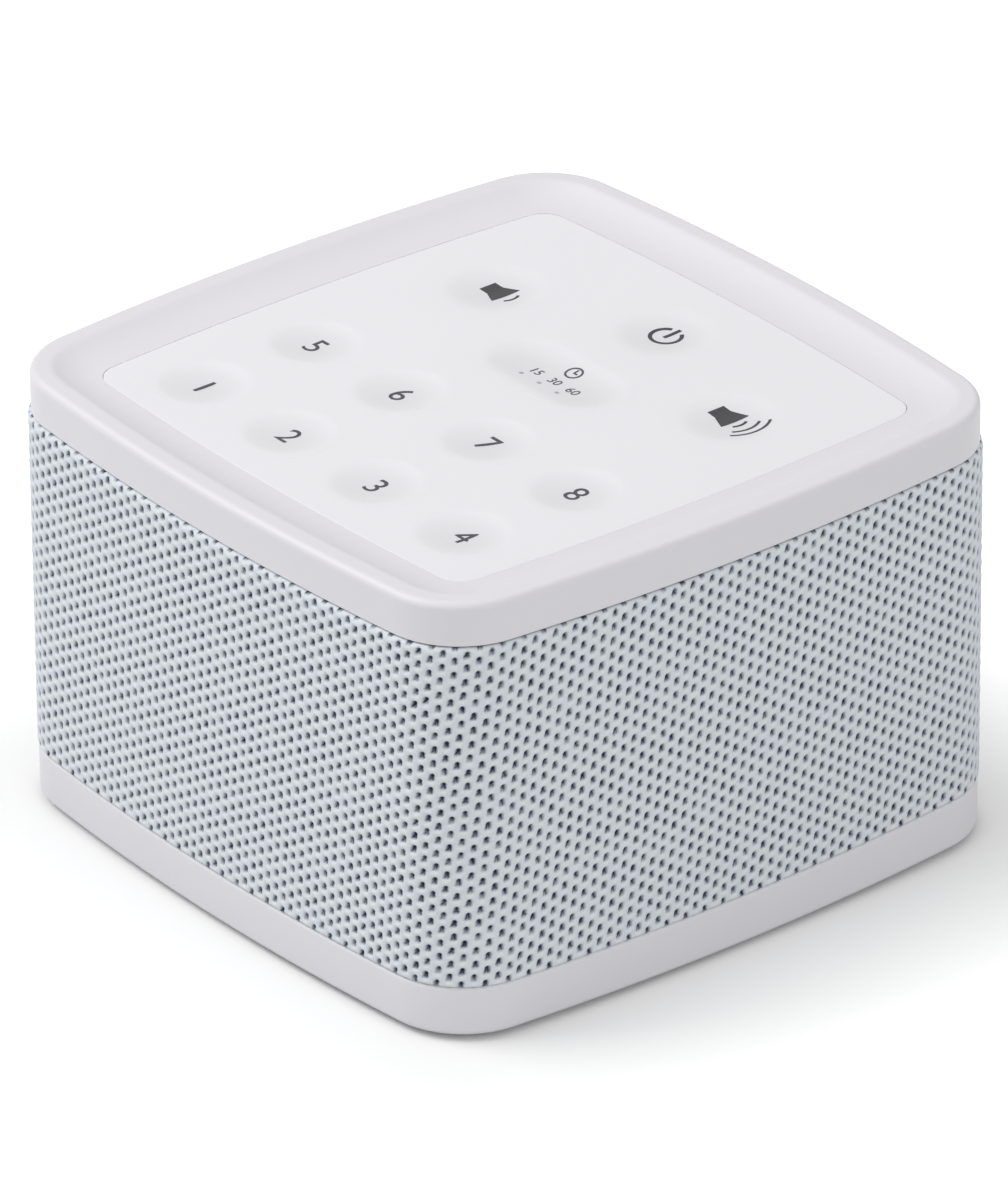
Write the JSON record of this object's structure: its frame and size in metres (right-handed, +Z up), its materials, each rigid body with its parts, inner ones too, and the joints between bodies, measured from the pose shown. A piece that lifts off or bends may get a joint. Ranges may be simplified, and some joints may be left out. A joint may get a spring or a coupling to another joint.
{
  "type": "white noise sound machine",
  "caption": "Low rounded sound machine with a knitted sleeve round its loudspeaker, a dished touch panel of press keys on top, and a battery bay with a door underneath.",
  "frame": {"origin": "middle of the underside, on the surface the feet stand on", "axes": "+Z up, -Y towards the user, +X to the user's right"},
  "size_m": [0.1104, 0.1104, 0.0707],
  "materials": {
    "white_plastic": "fine matte moulding",
    "soft_panel": "soft satin skin",
    "knit": "open knit",
    "black_plastic": "matte moulding",
    "grey_plastic": "matte moulding",
    "board": "lacquered board",
    "can_metal": "printed can",
    "light": "clear lens",
    "steel": "zinc plated",
    "spring_metal": "nickel plated",
    "black_metal": "black paint",
    "ferrite": "ground ferrite",
    "copper": "enamelled wire",
    "cone_paper": "pressed paper",
    "soft_rubber": "soft rubber",
    "spider_cloth": "resin-stiffened cloth"
  },
  "bodies": {
    "case": {"base_cap": "white_plastic", "base_screws": "steel", "battery_cells": "can_metal", "battery_contacts": "spring_metal", "board_chips": "black_plastic", "board_screws": "steel", "capacitors": "can_metal", "control_overlay": "soft_panel", "cover_screws": "steel", "fabric_sleeve": "knit", "grille_frame": "black_plastic", "lead_sockets": "grey_plastic", "main_board": "board", "power_socket": "black_plastic", "rubber_feet": "soft_rubber", "socket_pin": "spring_metal", "speaker_basket": "black_metal", "speaker_gasket": "soft_rubber", "speaker_magnet": "ferrite", "speaker_screws": "steel", "speaker_spider": "spider_cloth", "speaker_surround": "soft_rubber", "speaker_top_plate": "steel", "speaker_yoke": "steel", "switch_housings": "black_plastic", "timer_lights": "light", "top_cover": "white_plastic"},
    "sound_key_1": {"sound_key_1": "soft_panel", "sound_1_stem": "grey_plastic"},
    "sound_key_2": {"sound_key_2": "soft_panel", "sound_2_stem": "grey_plastic"},
    "sound_key_3": {"sound_key_3": "soft_panel", "sound_3_stem": "grey_plastic"},
    "sound_key_4": {"sound_key_4": "soft_panel", "sound_4_stem": "grey_plastic"},
    "sound_key_5": {"sound_key_5": "soft_panel", "sound_5_stem": "grey_plastic"},
    "sound_key_6": {"sound_key_6": "soft_panel", "sound_6_stem": "grey_plastic"},
    "sound_key_7": {"sound_key_7": "soft_panel", "sound_7_stem": "grey_plastic"},
    "sound_key_8": {"sound_key_8": "soft_panel", "sound_8_stem": "grey_plastic"},
    "volume_down_key": {"volume_down_key": "soft_panel", "volume_down_stem": "grey_plastic"},
    "volume_up_key": {"volume_up_key": "soft_panel", "volume_up_stem": "grey_plastic"},
    "power_key": {"power_key": "soft_panel", "power_stem": "grey_plastic"},
    "timer_key": {"timer_key": "soft_panel", "timer_stem": "grey_plastic"},
    "battery_door": {"battery_door": "white_plastic"},
    "cone": {"speaker_cone": "cone_paper", "dust_cap": "cone_paper", "voice_coil": "copper"}
  },
  "joints": [
    {"name": "sound_key_1_press", "type": "slide", "parent": "case", "child": "sound_key_1", "axis": [0, 0, -1], "range_m": [0, 0.0006], "stiffness_N_per_m": 200, "springref_m": -0.0005},
    {"name": "sound_key_2_press", "type": "slide", "parent": "case", "child": "sound_key_2", "axis": [0, 0, -1], "range_m": [0, 0.0006], "stiffness_N_per_m": 200, "springref_m": -0.0005},
    {"name": "sound_key_3_press", "type": "slide", "parent": "case", "child": "sound_key_3", "axis": [0, 0, -1], "range_m": [0, 0.0006], "stiffness_N_per_m": 200, "springref_m": -0.0005},
    {"name": "sound_key_4_press", "type": "slide", "parent": "case", "child": "sound_key_4", "axis": [0, 0, -1], "range_m": [0, 0.0006], "stiffness_N_per_m": 200, "springref_m": -0.0005},
    {"name": "sound_key_5_press", "type": "slide", "parent": "case", "child": "sound_key_5", "axis": [0, 0, -1], "range_m": [0, 0.0006], "stiffness_N_per_m": 200, "springref_m": -0.0005},
    {"name": "sound_key_6_press", "type": "slide", "parent": "case", "child": "sound_key_6", "axis": [0, 0, -1], "range_m": [0, 0.0006], "stiffness_N_per_m": 200, "springref_m": -0.0005},
    {"name": "sound_key_7_press", "type": "slide", "parent": "case", "child": "sound_key_7", "axis": [0, 0, -1], "range_m": [0, 0.0006], "stiffness_N_per_m": 200, "springref_m": -0.0005},
    {"name": "sound_key_8_press", "type": "slide", "parent": "case", "child": "sound_key_8", "axis": [0, 0, -1], "range_m": [0, 0.0006], "stiffness_N_per_m": 200, "springref_m": -0.0005},
    {"name": "volume_down_key_press", "type": "slide", "parent": "case", "child": "volume_down_key", "axis": [0, 0, -1], "range_m": [0, 0.0006], "stiffness_N_per_m": 200, "springref_m": -0.0005},
    {"name": "volume_up_key_press", "type": "slide", "parent": "case", "child": "volume_up_key", "axis": [0, 0, -1], "range_m": [0, 0.0006], "stiffness_N_per_m": 200, "springref_m": -0.0005},
    {"name": "power_key_press", "type": "slide", "parent": "case", "child": "power_key", "axis": [0, 0, -1], "range_m": [0, 0.0006], "stiffness_N_per_m": 200, "springref_m": -0.0005},
    {"name": "timer_key_press", "type": "slide", "parent": "case", "child": "timer_key", "axis": [0, 0, -1], "range_m": [0, 0.0006], "stiffness_N_per_m": 200, "springref_m": -0.0005},
    {"name": "battery_door_hinge", "type": "hinge", "parent": "case", "child": "battery_door", "pos_m": [0, 0.04495, 0.0018], "axis": [1, 0, 0], "range_deg": [0, 95]},
    {"name": "cone_stroke", "type": "slide", "parent": "case", "child": "cone", "axis": [0, -1, 0], "range_m": [-0.0012, 0.0012], "stiffness_N_per_m": 600}
  ]
}
